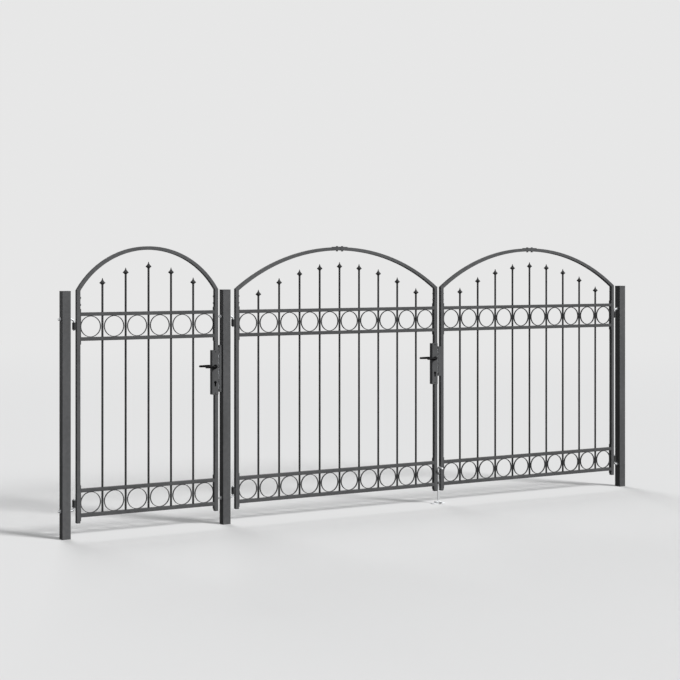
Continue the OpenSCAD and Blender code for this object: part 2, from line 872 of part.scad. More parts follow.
left_post();
middle_post();
right_post();
post_caps();
hinge_pins();
hinge_nuts();
side_gate_strike();
floor_keeper();
side_gate_hinge_stile();
side_gate_latch_stile();
side_gate_arch();
side_gate_lower_band();
side_gate_upper_band();
side_gate_bars();
side_gate_spear_heads();
side_gate_hinge_barrels();
side_gate_lock_case();
side_gate_lock_cylinder();
side_gate_lever_roses();
side_gate_levers();
left_leaf_hinge_stile();
left_leaf_lock_stile();
left_leaf_arch();
left_leaf_arch_joint();
left_leaf_lower_band();
left_leaf_upper_band();
left_leaf_bars();
left_leaf_spear_heads();
left_leaf_hinge_barrels();
left_leaf_lock_case();
left_leaf_lock_cylinder();
left_leaf_lever_roses();
left_leaf_levers();
right_leaf_hinge_stile();
right_leaf_meeting_stile();
right_leaf_arch();
right_leaf_arch_joint();
right_leaf_lower_band();
right_leaf_upper_band();
right_leaf_bars();
right_leaf_spear_heads();
right_leaf_hinge_barrels();
right_leaf_strike();
right_leaf_bolt_guides();
drop_bolt();
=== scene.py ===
"""Looks of a steel driveway gate with a side gate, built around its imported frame.

The frame gives every tube, ring, bar and hinge. This script gives them their coats, and adds what a
gate maker adds last: weld beads, bolts, threads, screws, lock plates, key ways and foot plugs. It
also puts rounder hinge barrels and levers in the place of the frame's plain ones. All sizes are in
metres, with +X along the gate line, +Y towards its back and +Z up.
"""
import json
import logging
import math
from dataclasses import dataclass, field, replace
from enum import Enum
from typing import Any, Iterable, Mapping, Sequence

import bpy
import numpy as np
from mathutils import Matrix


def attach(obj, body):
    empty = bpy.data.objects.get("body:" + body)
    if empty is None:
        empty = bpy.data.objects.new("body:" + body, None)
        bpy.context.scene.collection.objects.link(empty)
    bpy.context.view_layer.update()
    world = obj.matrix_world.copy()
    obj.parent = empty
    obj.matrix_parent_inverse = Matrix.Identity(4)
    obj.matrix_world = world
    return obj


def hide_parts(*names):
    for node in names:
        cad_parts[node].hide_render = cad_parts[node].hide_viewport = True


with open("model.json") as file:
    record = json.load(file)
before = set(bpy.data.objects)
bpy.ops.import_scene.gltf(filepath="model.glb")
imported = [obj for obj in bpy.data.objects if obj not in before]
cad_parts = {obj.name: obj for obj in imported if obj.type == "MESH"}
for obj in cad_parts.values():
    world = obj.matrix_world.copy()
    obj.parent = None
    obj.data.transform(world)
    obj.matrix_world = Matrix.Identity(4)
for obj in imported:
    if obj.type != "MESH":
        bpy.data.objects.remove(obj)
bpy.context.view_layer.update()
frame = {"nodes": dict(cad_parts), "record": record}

LOG = logging.getLogger("gate")
MM = 0.001
TURN = 2 * math.pi
Profile = Sequence[Sequence[float]] | np.ndarray


class Body(str, Enum):
    """The bodies of the frame that pieces of this script ride on."""

    POSTS = "posts"
    SIDE_GATE = "side_gate"
    SIDE_HANDLE = "side_gate_handle"
    LEFT_LEAF = "left_leaf"
    LEFT_HANDLE = "left_leaf_handle"
    RIGHT_LEAF = "right_leaf"


class Slot(str, Enum):
    """The record's material slots."""

    POST = "post_paint"
    FRAME = "frame_paint"
    BAND = "band_paint"
    BAR = "bar_paint"
    HARDWARE = "hardware_paint"
    ZINC = "zinc_plate"
    BOLT = "bolt_zinc"
    KEEPER = "keeper_zinc"
    LEVER = "lever_black"
    CYLINDER = "cylinder_black"


class Axis(Enum):
    """Directions that a shape's own axis can take: two cross directions and the axis, as rows."""

    X = ((0, 1, 0), (0, 0, 1), (1, 0, 0))
    Y = ((0, 0, 1), (1, 0, 0), (0, 1, 0))
    Z = ((1, 0, 0), (0, 1, 0), (0, 0, 1))

    @property
    def rows(self) -> np.ndarray:
        """The two cross directions and the axis itself, as rows."""
        return np.array(self.value, dtype=float)


# Shader arithmetic


class Signal:
    """One shader socket that takes part in Python arithmetic."""

    def __init__(self, graph: "Graph", socket: Any) -> None:
        """Keeps the socket and the graph that it is in."""
        self.graph = graph
        self.socket = socket

    def _math(self, operation: str, *values: Any) -> "Signal":
        """Adds one Math node on the given values."""
        return self.graph.node(
            "ShaderNodeMath", {"operation": operation}, dict(enumerate(values))
        )

    def __add__(self, other: Any) -> "Signal":
        """This plus other."""
        return self._math("ADD", self, other)

    def __radd__(self, other: Any) -> "Signal":
        """Other plus this."""
        return self._math("ADD", other, self)

    def __sub__(self, other: Any) -> "Signal":
        """This minus other."""
        return self._math("SUBTRACT", self, other)

    def __rsub__(self, other: Any) -> "Signal":
        """Other minus this."""
        return self._math("SUBTRACT", other, self)

    def __mul__(self, other: Any) -> "Signal":
        """This times other."""
        return self._math("MULTIPLY", self, other)

    def __rmul__(self, other: Any) -> "Signal":
        """Other times this."""
        return self._math("MULTIPLY", other, self)

    def step(self, low: float, high: float) -> "Signal":
        """Rises smoothly from 0 at low to 1 at high, and falls if high is the lower one.

        Args:
            low: The value that gives 0.
            high: The value that gives 1.

        Returns:
            The stepped signal.
        """
        return self.graph.node(
            "ShaderNodeMapRange",
            {"interpolation_type": "SMOOTHSTEP"},
            {"Value": self, "From Min": low, "From Max": high},
        )


class Graph:
    """A node tree with a single method that adds nodes."""

    def __init__(self, owner: Any) -> None:
        """Empties a node tree.

        Args:
            owner: The material or the world that has it.
        """
        owner.use_nodes = True
        self.tree = owner.node_tree
        self.tree.nodes.clear()

    def node(
        self,
        kind: str,
        settings: Mapping[str, Any] | None = None,
        inputs: Mapping[Any, Any] | None = None,
        output: Any = 0,
    ) -> Signal:
        """Adds a node.

        Args:
            kind: The node's type.
            settings: Its settings, which are set first.
            inputs: The value or the link of each of its sockets.
            output: The name or number of the socket that comes back.

        Returns:
            The output as a signal.
        """
        made = self.tree.nodes.new(kind)
        for key, value in (settings or {}).items():
            setattr(made, key, value)
        for key, value in (inputs or {}).items():
            self.feed(made.inputs[key], value)
        return Signal(self, made.outputs[output] if len(made.outputs) else None)

    def feed(self, socket: Any, value: Any) -> None:
        """Fills a socket.

        Args:
            socket: The socket.
            value: A signal, which is linked to it, or the number, colour or vector that it takes.
        """
        if isinstance(value, Signal):
            self.tree.links.new(value.socket, socket)
        elif isinstance(value, (tuple, list)) and len(value) == 3 and socket.type == "RGBA":
            socket.default_value = (*value, 1)
        else:
            socket.default_value = value

    def ray(self, *kinds: str) -> Signal:
        """Tells rays apart.

        Args:
            kinds: Kinds of ray, such as Camera or Glossy.

        Returns:
            1 where the ray is of one of the kinds, and 0 elsewhere.
        """
        hits = [self.node("ShaderNodeLightPath", output=f"Is {kind} Ray") for kind in kinds]
        total = hits[0]
        for hit in hits[1:]:
            total = total + hit
        return total

    def blend(self, mask: Any, low: Signal, high: Signal) -> Signal:
        """A shader that goes from low at mask 0 to high at mask 1."""
        return self.node("ShaderNodeMixShader", inputs={0: mask, 1: low, 2: high})


class Coat(Graph):
    """The node tree of one material, in the frame's own coordinates."""

    def __init__(self, name: str) -> None:
        """Starts an empty material.

        Args:
            name: The material's name.
        """
        self.material = bpy.data.materials.new(name)
        super().__init__(self.material)
        self.place = self.node("ShaderNodeTexCoord", output="Object")

    def noise(
        self, scale: float, stretch: Sequence[float] = (1, 1, 1), detail: float = 2.0, seed: float = 0.0
    ) -> Signal:
        """Noise from 0 to 1 in the frame's own coordinates.

        Args:
            scale: Features per metre, about.
            stretch: How much denser the noise is along X, Y and Z.
            detail: Octaves.
            seed: How far the noise is moved, which gives a new pattern.

        Returns:
            The noise.
        """
        moved = self.node(
            "ShaderNodeMapping",
            inputs={"Vector": self.place, "Location": (seed,) * 3, "Scale": tuple(stretch)},
        )
        return self.node(
            "ShaderNodeTexNoise", inputs={"Vector": moved, "Scale": scale, "Detail": detail}
        )

    def cells(self, scale: float) -> Signal:
        """The distance to the nearest cell's middle, in cells of the given number per metre."""
        return self.node("ShaderNodeTexVoronoi", inputs={"Vector": self.place, "Scale": scale})

    def mix(self, mask: Any, low: Any, high: Any) -> Signal:
        """A colour that goes from low at mask 0 to high at mask 1."""
        return self.node(
            "ShaderNodeMix", {"data_type": "RGBA"}, {0: mask, 6: low, 7: high}, output=2
        )

    def up(self) -> Signal:
        """How far the surface faces up, from -1 to 1."""
        normal = self.node("ShaderNodeNewGeometry", output="Normal")
        return self.node("ShaderNodeSeparateXYZ", inputs={0: normal}, output="Z")

    def height(self) -> Signal:
        """Height above the ground, in metres."""
        return self.node("ShaderNodeSeparateXYZ", inputs={0: self.place}, output="Z")

    def bump(self, height: Signal, depth: float, strength: float) -> Signal:
        """A normal from a height signal.

        Args:
            height: The signal, from 0 to 1.
            depth: How deep the relief is, in metres.
            strength: How much of it shows.

        Returns:
            The normal.
        """
        return self.node(
            "ShaderNodeBump", inputs={"Height": height, "Distance": depth, "Strength": strength}
        )

    def surface(self, **sockets: Any) -> Signal:
        """A principled shader whose sockets are set by name, with _ for a space."""
        inputs = {key.replace("_", " "): value for key, value in sockets.items()}
        return self.node("ShaderNodeBsdfPrincipled", inputs=inputs)

    def finish(self, shader: Signal) -> bpy.types.Material:
        """Sends a shader to the output and gives the material."""
        self.node("ShaderNodeOutputMaterial", inputs={0: shader})
        return self.material


# Finishes

DUST = (0.33, 0.31, 0.28)


def shaded(colour: Sequence[float], share: float) -> tuple[float, ...]:
    """A lighter or darker colour: each channel times the share, and 1 at the most."""
    return tuple(min(1.0, channel * share) for channel in colour)


@dataclass(frozen=True)
class PowderCoat:
    """Satin powder coat: fine orange peel, faint flow marks, and dust where it can settle.

    Scales are in features per metre, and the depth of the peel is in metres.
    """

    name: str
    colour: tuple[float, ...]
    rough: float = 0.52
    gloss: float = 0.08
    dark_share: float = 0.84
    light_share: float = 1.2
    broad_scale: float = 2.6
    patch_scale: float = 46.0
    streak_scale: float = 34.0
    fine_scale: float = 1500.0
    peel_scale: float = 620.0
    peel_depth: float = 0.00022
    dust: float = 0.06
    splash_z: float = 0.26
    seed: float = 0.0

    def build(self) -> bpy.types.Material:
        """Makes the material.

        The colour is the coat's, lighter or darker by a sum of broad, patchy, fine and streaky noise,
        in falling shares. Dust lies on it by how far the surface faces up, and in the lowest part,
        where rain splashes. It also dulls the gloss.

        Returns:
            The material.
        """
        g = Coat(self.name)
        broad = g.noise(self.broad_scale, detail=3.0, seed=self.seed)
        fine = g.noise(self.fine_scale, detail=1.0, seed=self.seed)
        streak = g.noise(self.streak_scale, (1, 1, 0.05), detail=3.0, seed=self.seed + 3)
        patch = g.noise(self.patch_scale, detail=4.0, seed=self.seed + 7)
        light = shaded(self.colour, self.light_share)
        dark = shaded(self.colour, self.dark_share)
        shade = (broad * 0.35 + patch * 0.3 + fine * 0.2 + streak * 0.15).step(0.32, 0.68)
        ledge = g.up().step(0.35, 0.95) * patch.step(0.3, 0.75)
        splash = g.height().step(self.splash_z, 0.0) * patch.step(0.42, 0.8)
        dust = (ledge + splash * 0.7) * self.dust
        peel = g.noise(self.peel_scale, detail=1.5, seed=self.seed)
        return g.finish(g.surface(
            Base_Color=g.mix(dust, g.mix(shade, dark, light), DUST),
            Roughness=self.rough + dust * 0.9 + (streak - 0.5) * 0.1,
            Normal=g.bump(peel, self.peel_depth, 0.42),
            Specular_IOR_Level=self.gloss,
        ))


@dataclass(frozen=True)
class ZincPlate:
    """Bright zinc plate: faint cells, milky bloom, and rubbing along one direction."""

    name: str
    colour: tuple[float, ...]
    rough: float
    rub: tuple[float, float, float] = (1.0, 1.0, 1.0)
    bloom: float = 0.3
    metal: float = 1.0
    light_share: float = 1.12
    bloom_share: float = 0.9
    cell_scale: float = 260.0
    cloud_scale: float = 55.0
    hair_scale: float = 1400.0
    hair_depth: float = 0.00008
    seed: float = 0.0

    def build(self) -> bpy.types.Material:
        """Makes the material.

        The metal's colour goes to a milky grey where broad noise is high, and roughness follows it.
        Fine noise, drawn out along the rubbing, gives hair scratches.

        Returns:
            The material.
        """
        g = Coat(self.name)
        cells = g.cells(self.cell_scale)
        cloud = g.noise(self.cloud_scale, detail=5.0, seed=self.seed).step(0.46, 0.72) * self.bloom
        hair = g.noise(self.hair_scale, self.rub, detail=2.0, seed=self.seed)
        metal = g.mix(cells.step(0.1, 0.8), self.colour, shaded(self.colour, self.light_share))
        return g.finish(g.surface(
            Base_Color=g.mix(cloud, metal, shaded(self.colour, self.bloom_share)),
            Metallic=(1.0 - cloud * 0.6) * self.metal,
            Roughness=self.rough + cloud * 0.5 + (hair - 0.5) * 0.22,
            Normal=g.bump(hair, self.hair_depth, 0.35),
        ))


@dataclass(frozen=True)
class BlackCoat:
    """Black satin coat on small castings, a little shinier in some places than in others."""

    name: str
    colour: tuple[float, ...] = (0.002, 0.002, 0.0023)
    rough: float = 0.5
    gloss: float = 0.08
    light_share: float = 1.9
    dust: float = 0.008
    broad_scale: float = 60.0
    grain_scale: float = 900.0
    grain_depth: float = 0.00015
    seed: float = 0.0

    def build(self) -> bpy.types.Material:
        """Makes the material: fine grain in the relief, broad noise in the gloss, and a little dust.

        Returns:
            The material.
        """
        g = Coat(self.name)
        broad = g.noise(self.broad_scale, detail=3.0, seed=self.seed)
        grain = g.noise(self.grain_scale, detail=2.0, seed=self.seed)
        light = shaded(self.colour, self.light_share)
        dust = g.up().step(0.4, 1.0) * broad.step(0.4, 0.75) * self.dust
        return g.finish(g.surface(
            Base_Color=g.mix(dust, g.mix(broad.step(0.35, 0.7), self.colour, light), DUST),
            Roughness=self.rough + (broad - 0.5) * 0.3 + dust,
            Normal=g.bump(grain, self.grain_depth, 0.4),
            Specular_IOR_Level=self.gloss,
        ))


@dataclass(frozen=True)
class Finishes:
    """Every material of the gate, by the slot that it dresses."""

    paint: tuple[float, float, float] = (0.088, 0.089, 0.091)
    hardware_share: float = 0.94
    # Painted shade: the bands, and the bars and barrels still more, are darker copies of the one paint.
    band_painted_shade_share: float = 0.86
    bar_painted_shade_share: float = 0.46

    def by_slot(self) -> dict[Slot, bpy.types.Material]:
        """Makes one material for each slot.

        Returns:
            The materials. All coats share one paint: a little darker on the hardware, and darker as
                painted shade on the bands, and still more on the bars and barrels.
        """
        paint = self.paint
        hardware = shaded(paint, self.hardware_share)
        # Painted shade: the bands, bars and barrels take darker copies of the one paint for their shaded
        # tops and sides.
        band = shaded(paint, self.band_painted_shade_share)
        bar = shaded(paint, self.bar_painted_shade_share)
        made = {
            Slot.POST: PowderCoat("coat_on_posts", paint),
            Slot.FRAME: PowderCoat("coat_on_frames", paint, seed=11.0),
            Slot.BAND: PowderCoat("coat_on_bands_with_painted_shade", band, rough=0.54, dust=0.07, seed=23.0),
            Slot.BAR: PowderCoat("coat_on_bars_with_painted_shade", bar, rough=0.54, peel_scale=760.0, seed=37.0),
            Slot.HARDWARE: PowderCoat(
                "coat_on_hardware", hardware, rough=0.56, peel_scale=700.0, seed=51.0
            ),
            Slot.ZINC: ZincPlate(
                "zinc_on_pins", (0.54, 0.55, 0.56), rough=0.6, rub=(0.2, 1, 1), seed=5.0
            ),
            Slot.BOLT: ZincPlate(
                "zinc_on_drop_bolt", (0.80, 0.81, 0.82), rough=0.44, rub=(1, 1, 0.03),
                bloom=0.5, metal=0.8, seed=9.0,
            ),
            Slot.KEEPER: ZincPlate(
                "zinc_on_keeper", (0.84, 0.85, 0.86), rough=0.46, bloom=0.5, metal=0.4, seed=13.0
            ),
            Slot.LEVER: BlackCoat("black_on_levers", seed=3.0),
            # Near black, darker than the levers: the own black of the foot plugs and screws; on the lock
            # cylinders a dark finish with the shade of their recess painted in; and painted shade on the
            # plates in the latch and bolt openings.
            Slot.CYLINDER: BlackCoat(
                "black_and_painted_shade_on_cylinders", (0.0006, 0.0006, 0.0007), gloss=0.04, grain_scale=1600.0, seed=8.0
            ),
        }
        return {slot: finish.build() for slot, finish in made.items()}


# Meshes as arrays


@dataclass
class Patch:
    """Points and faces of a shape, as arrays: quads is (n, 4) and tris is (n, 3)."""

    points: np.ndarray
    quads: np.ndarray = field(default_factory=lambda: np.zeros((0, 4), dtype=int))
    tris: np.ndarray = field(default_factory=lambda: np.zeros((0, 3), dtype=int))

    @staticmethod
    def joined(parts: Iterable["Patch"]) -> "Patch":
        """Puts shapes side by side, and counts each one's faces on from the points before it.

        Args:
            parts: The shapes.

        Returns:
            One patch that holds them all.
        """
        parts = list(parts)
        starts = np.cumsum([0] + [len(p.points) for p in parts[:-1]])
        return Patch(
            np.concatenate([p.points for p in parts]),
            np.concatenate([p.quads + s for p, s in zip(parts, starts)]),
            np.concatenate([p.tris + s for p, s in zip(parts, starts)]),
        )

    def moved(self, shift: Sequence[float]) -> "Patch":
        """The patch, shifted."""
        return Patch(self.points + np.asarray(shift, dtype=float), self.quads, self.tris)

    def mirrored(self, axis: int, about: float = 0.0) -> "Patch":
        """The patch, mirrored across a plane, with its faces turned so that they still point out.

        Args:
            axis: The number of the axis that is mirrored.
            about: The plane's place on that axis.

        Returns:
            The mirrored patch: the coordinate becomes twice the plane's place less itself.
        """
        points = self.points.copy()
        points[:, axis] = 2 * about - points[:, axis]
        return Patch(points, self.quads[:, ::-1], self.tris[:, ::-1])

    def doubled(self, axis: int, about: float = 0.0) -> "Patch":
        """The patch and its mirror image, as one."""
        return Patch.joined([self, self.mirrored(axis, about)])

    def repeated(self, places: np.ndarray) -> "Patch":
        """Copies the patch: every point plus every place.

        Args:
            places: Places of the copies, as (n, 3).

        Returns:
            The copies as one patch.
        """
        places = np.asarray(places, dtype=float).reshape(-1, 3)
        count, size = len(places), len(self.points)
        starts = (np.arange(count) * size)[:, None, None]
        return Patch(
            (places[:, None, :] + self.points[None, :, :]).reshape(-1, 3),
            (self.quads[None] + starts).reshape(-1, 4),
            (self.tris[None] + starts).reshape(-1, 3),
        )

    def mesh(self, name: str) -> bpy.types.Mesh:
        """Puts the arrays into a mesh, quads first.

        Args:
            name: The mesh's name.

        Returns:
            The mesh.
        """
        mesh = bpy.data.meshes.new(name)
        corners = np.concatenate([self.quads.ravel(), self.tris.ravel()]).astype(np.int32)
        sizes = np.concatenate([np.full(len(self.quads), 4), np.full(len(self.tris), 3)]).astype(np.int32)
        mesh.vertices.add(len(self.points))
        mesh.vertices.foreach_set("co", self.points.astype(np.float32).ravel())
        mesh.loops.add(len(corners))
        mesh.loops.foreach_set("vertex_index", corners)
        mesh.polygons.add(len(sizes))
        mesh.polygons.foreach_set("loop_start", (np.cumsum(sizes) - sizes).astype(np.int32))
        mesh.update(calc_edges=True)
        mesh.validate()
        return mesh


def spots(x: Any, z: Any, y: Any = 0.0) -> np.ndarray:
    """Places for every mix of the given X, Y and Z, as (n, 3), with X changing slowest."""
    return np.stack(np.meshgrid(x, y, z, indexing="ij"), axis=-1).reshape(-1, 3)


def edges(levels: Any, height: float) -> np.ndarray:
    """The undersides of parts of one height at some levels, and after them their tops."""
    return np.concatenate([levels, np.asarray(levels) + height])


def wrap_faces(rows: int, columns: int, close_rows: bool = False) -> np.ndarray:
    """Quads of a grid whose columns close on themselves.

    Args:
        rows: Number of rows of points.
        columns: Number of points in a row, which goes right round.
        close_rows: Whether the last row joins the first.

    Returns:
        The faces: corner (i, j), (i, j + 1), (i + 1, j + 1) and (i + 1, j).
    """
    i = np.arange(rows if close_rows else rows - 1)[:, None]
    j = np.arange(columns)[None, :]
    after_i, after_j = (i + 1) % rows, (j + 1) % columns
    row, after_row = i * columns, after_i * columns
    faces = np.stack([row + j, row + after_j, after_row + after_j, after_row + j], axis=-1)
    return faces.reshape(-1, 4)


def lofted(grid: np.ndarray) -> Patch:
    """A closed shape from rows of points, with a fan on a middle point over each end.

    Args:
        grid: Points as (rows, columns, 3). The columns go anticlockwise, seen against the rows.

    Returns:
        The shape. Each fan's middle is the mean of its row.
    """
    rows, columns = grid.shape[:2]
    middles = np.stack([grid[0].mean(axis=0), grid[-1].mean(axis=0)])
    j = np.arange(columns)
    k = (j + 1) % columns
    top = (rows - 1) * columns
    low = np.stack([k, j, np.full(columns, rows * columns)], axis=-1)
    high = np.stack([top + j, top + k, np.full(columns, rows * columns + 1)], axis=-1)
    points = np.concatenate([grid.reshape(-1, 3), middles])
    return Patch(points, wrap_faces(rows, columns), np.concatenate([low, high]))


def spun(profile: Profile, angles: np.ndarray) -> np.ndarray:
    """Carries a profile around an axis: at radius r, height h and angle a, r cos(a), r sin(a) and h.

    Args:
        profile: Radius and height of each point.
        angles: The angles.

    Returns:
        A row of points for each point of the profile, as (rows, angles, 3).
    """
    profile = np.asarray(profile, dtype=float)
    ring = np.stack([np.cos(angles), np.sin(angles)], axis=-1)
    flat = profile[:, 0, None, None] * ring[None]
    tall = np.broadcast_to(profile[:, 1, None, None], flat[..., :1].shape)
    return np.concatenate([flat, tall], axis=-1)


def around(segments: int, turn: float = 0.0) -> np.ndarray:
    """Angles in equal steps right round, from the given one."""
    return turn + np.arange(segments) * TURN / segments


def turned(profile: Profile, axis: Axis = Axis.Z, segments: int = 24, turn: float = 0.0) -> Patch:
    """A closed shape turned about an axis.

    Args:
        profile: Radius and height of each row, from the low end to the high end.
        axis: The axis.
        segments: Points around.
        turn: The angle of the first point.

    Returns:
        The shape.
    """
    return lofted(spun(profile, around(segments, turn)) @ axis.rows)


def turned_ring(section: Profile, segments: int) -> Patch:
    """A ring: a closed section of radius and height, turned about Z.

    Args:
        section: Radius and height of each point, anticlockwise with radius to the right.
        segments: Points around.

    Returns:
        The ring, which joins itself both ways round.
    """
    points = spun(section, around(segments)).reshape(-1, 3)
    return Patch(points, wrap_faces(len(section), segments, close_rows=True))


def plate(size: tuple[float, float], corner: float, rows: Profile, axis: Axis) -> Patch:
    """A plate with round corners.

    A corner's point at angle a is the corner's centre plus the corner's radius times cos(a) and
    sin(a). Each row keeps the four centres and takes its inset off the radius.

    Args:
        size: Length along the first and the second cross direction.
        corner: Radius of the corners, more than the largest inset.
        rows: Inset and height of each row, from the low end to the high end.
        axis: The direction of the plate's thickness.

    Returns:
        The plate, with its middle on the axis.
    """
    steps = 4
    quarter, part = np.divmod(np.arange(4 * (steps + 1)), steps + 1)
    angles = quarter * TURN / 4 + part * TURN / (4 * steps)
    sides = np.array([[1, 1], [-1, 1], [-1, -1], [1, -1]])[quarter]
    centres = sides * (np.asarray(size) / 2 - corner)
    ring = np.stack([np.cos(angles), np.sin(angles)], axis=-1)
    inset, height = np.asarray(rows, dtype=float).T
    flat = centres[None] + (corner - inset)[:, None, None] * ring[None]
    tall = np.broadcast_to(height[:, None, None], flat[..., :1].shape)
    return lofted(np.concatenate([flat, tall], axis=-1) @ axis.rows)


def bead(length: float, radius: float, axis: Axis, ripples: int, rows: int = 15) -> Patch:
    """A weld bead: a thin rod with round ends and ripples.

    Its radius is the fourth-power oval, root of 1 - s^4 with s from nearly -1 to nearly 1 along it,
    times one plus a tenth of a sine that counts the ripples.

    Args:
        length: Length of the bead.
        radius: Its radius.
        axis: Its direction.
        ripples: Ripples along it.
        rows: Points along it.

    Returns:
        The bead, with its middle at the origin.
    """
    s = np.linspace(-0.995, 0.995, rows)
    size = radius * np.sqrt(1 - s**4) * (1 + 0.1 * np.sin(math.pi * ripples * s))
    return turned(np.stack([size, s * length / 2], axis=-1), axis, segments=8)


def bead_across(width: float, inset: float, radius: float) -> Patch:
    """A finely rippled bead along Y, across a face of the given width less an inset at both ends."""
    return bead(width - 2 * inset, radius, Axis.Y, ripples=9, rows=21)


def domed(radius: float, height: float, rows: int = 5) -> np.ndarray:
    """Profile of a low dome: radius times cos(a), height times sin(a), up to nearly a right angle."""
    a = np.linspace(0, math.pi / 2 * 0.96, rows)
    return np.stack([radius * np.cos(a), height * np.sin(a)], axis=-1)


def screw_head(radius: float, height: float, foot: float, axis: Axis, segments: int) -> Patch:
    """A low domed screw head on a rim that starts at the height of its foot."""
    return turned(np.concatenate([[[radius, foot]], domed(radius, height)]), axis, segments)


def helix_thread(start: float, length: float, crest: float, root: float, pitch: float) -> Patch:
    """A screw thread along X.

    The radius at length x and angle a is the root plus a saw wave of x / pitch - a / turn, which is
    0 in the grooves and 1 on the crest. It fades to the root over less than a pitch at both ends.

    Args:
        start: Where the thread starts on X.
        length: Its length.
        crest: Radius of its crest.
        root: Radius of its root.
        pitch: Distance from crest to crest.

    Returns:
        The thread as a closed rod.
    """
    steps, runout = 6, 0.4 * pitch
    x = np.linspace(0, length, max(steps, round(length / pitch * steps)))[:, None]
    a = around(24)[None, :]
    wave = np.abs(2 * ((x / pitch - a / TURN) % 1) - 1)
    fade = np.clip(np.minimum(x, length - x) / runout, 0, 1)
    r = root + (crest - root) * wave * fade
    grid = np.stack([np.broadcast_to(start + x, r.shape), r * np.cos(a), r * np.sin(a)], axis=-1)
    return lofted(grid)


# Sizes that the pieces share with the frame


@dataclass(frozen=True)
class Sizes:
    """Sizes that all leaves share, as the frame has them."""

    stile_w: float = 22 * MM
    depth: float = 25 * MM
    foot_z: float = 84 * MM
    shoulder_z: float = 1374 * MM
    arch_t: float = 20 * MM
    rail_h: float = 20 * MM
    ring_od: float = 118 * MM
    ring_d: float = 10 * MM
    lower_z: float = 113 * MM
    upper_z: float = 1093 * MM
    strip_t: float = 3 * MM
    bar_d: float = 12 * MM
    case_w: float = 40 * MM
    case_d: float = 30 * MM
    case_z: float = 760 * MM
    case_h: float = 258 * MM
    spindle_z: float = 923 * MM
    cylinder_top: float = 839.5 * MM
    cylinder_d: float = 17 * MM
    socket_r: float = 7.6 * MM
    spear_h: float = 37 * MM
    barrel_w: float = 22 * MM
    barrel_h: float = 40 * MM
    barrel_zs: tuple[float, float] = (171 * MM, 1156 * MM)

    @property
    def rail_zs(self) -> np.ndarray:
        """The underside of each rail, from the lowest up."""
        step = self.rail_h + self.ring_od
        return np.array([self.lower_z, self.lower_z + step, self.upper_z, self.upper_z + step])


@dataclass(frozen=True)
class Leaf:
    """One leaf, drawn from its hinge edge at x = 0 to its other edge at x = width."""

    name: str
    body: Body
    edge_x: float
    width: float
    bays: int
    arch_rise: float
    tips: tuple[float, float, float]
    handle: Body | None = None
    mirrored: bool = False

    @property
    def pitch(self) -> float:
        """Distance from bar to bar."""
        return (self.width - 2 * SIZES.stile_w + SIZES.bar_d) / self.bays

    @property
    def bars(self) -> np.ndarray:
        """Places of the bars' middles."""
        return SIZES.stile_w - SIZES.bar_d / 2 + self.pitch * np.arange(1, self.bays)

    @property
    def rings(self) -> np.ndarray:
        """Places of the rings' middles."""
        return SIZES.stile_w - SIZES.bar_d / 2 + self.pitch * (np.arange(self.bays) + 0.5)

    @property
    def arch_r(self) -> float:
        """Outer radius of the arch, a circle through both shoulders and the top."""
        return (self.width**2 / 4 + self.arch_rise**2) / (2 * self.arch_rise)

    @property
    def arch_mid_z(self) -> float:
        """Height of the arch's centre."""
        return SIZES.shoulder_z + self.arch_rise - self.arch_r

    @property
    def mitre_z(self) -> float:
        """Height at which the arch's inner curve meets a stile's inner edge."""
        inner = self.arch_r - SIZES.arch_t
        return self.arch_mid_z + math.sqrt(inner**2 - (self.width / 2 - SIZES.stile_w) ** 2)

    @property
    def socket_ends(self) -> np.ndarray:
        """Height of the lower end of each bar's spear head.

        The tips' drop, fall and curve give it: the tip is the drop under the arch's top, and lower by
        the fall times the share of the way out to the last bar, to the power of the curve.

        Returns:
            The heights.
        """
        drop, fall, curve = self.tips
        out = np.abs(self.bars - self.width / 2) / (self.width / 2 - self.bars[0])
        return SIZES.shoulder_z + self.arch_rise - drop - SIZES.spear_h - fall * out**curve

    def placed(self, patch: Patch) -> Patch:
        """Takes a patch from the leaf's own coordinates to the frame's."""
        patch = patch.mirrored(0) if self.mirrored else patch
        return patch.moved((self.edge_x, 0, 0))


SIZES = Sizes()
SIDE_TIPS = (88 * MM, 91 * MM, 1.46)
DRIVE_TIPS = (91 * MM, 164 * MM, 1.87)
SIDE_GATE = Leaf(
    "side_gate", Body.SIDE_GATE, edge_x=-0.910, width=0.861, bays=6, arch_rise=0.247,
    tips=SIDE_TIPS, handle=Body.SIDE_HANDLE,
)
LEFT_LEAF = Leaf(
    "left_leaf", Body.LEFT_LEAF, edge_x=0.063, width=1.413, bays=10, arch_rise=0.249,
    tips=DRIVE_TIPS, handle=Body.LEFT_HANDLE,
)
RIGHT_LEAF = replace(
    LEFT_LEAF, name="right_leaf", body=Body.RIGHT_LEAF, edge_x=2.915, handle=None, mirrored=True
)
LEAVES = (SIDE_GATE, LEFT_LEAF, RIGHT_LEAF)


@dataclass
class Workshop:
    """Turns patches into pieces that ride on their bodies, and keeps the list of them."""

    materials: dict[Slot, bpy.types.Material]
    pieces: list[str] = field(default_factory=list)

    def piece(
        self, name: str, patch: Patch, slot: Slot, body: Body, smooth: float = 40.0
    ) -> bpy.types.Object:
        """Makes one piece.

        Args:
            name: The piece's name.
            patch: Its shape, in the frame's coordinates.
            slot: The slot whose finish it takes.
            body: The body that it rides on.
            smooth: The angle, in degrees, under which edges are shaded smooth.

        Returns:
            The object.
        """
        mesh = patch.mesh(name)
        mesh.materials.append(self.materials[slot])
        piece = bpy.data.objects.new(name, mesh)
        bpy.context.scene.collection.objects.link(piece)
        mesh.shade_smooth()
        mesh.set_sharp_from_angle(angle=math.radians(smooth))
        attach(piece, body.value)
        self.pieces.append(name)
        LOG.info("%s: %d points on %s", name, len(patch.points), body.value)
        return piece


# Sub-assemblies


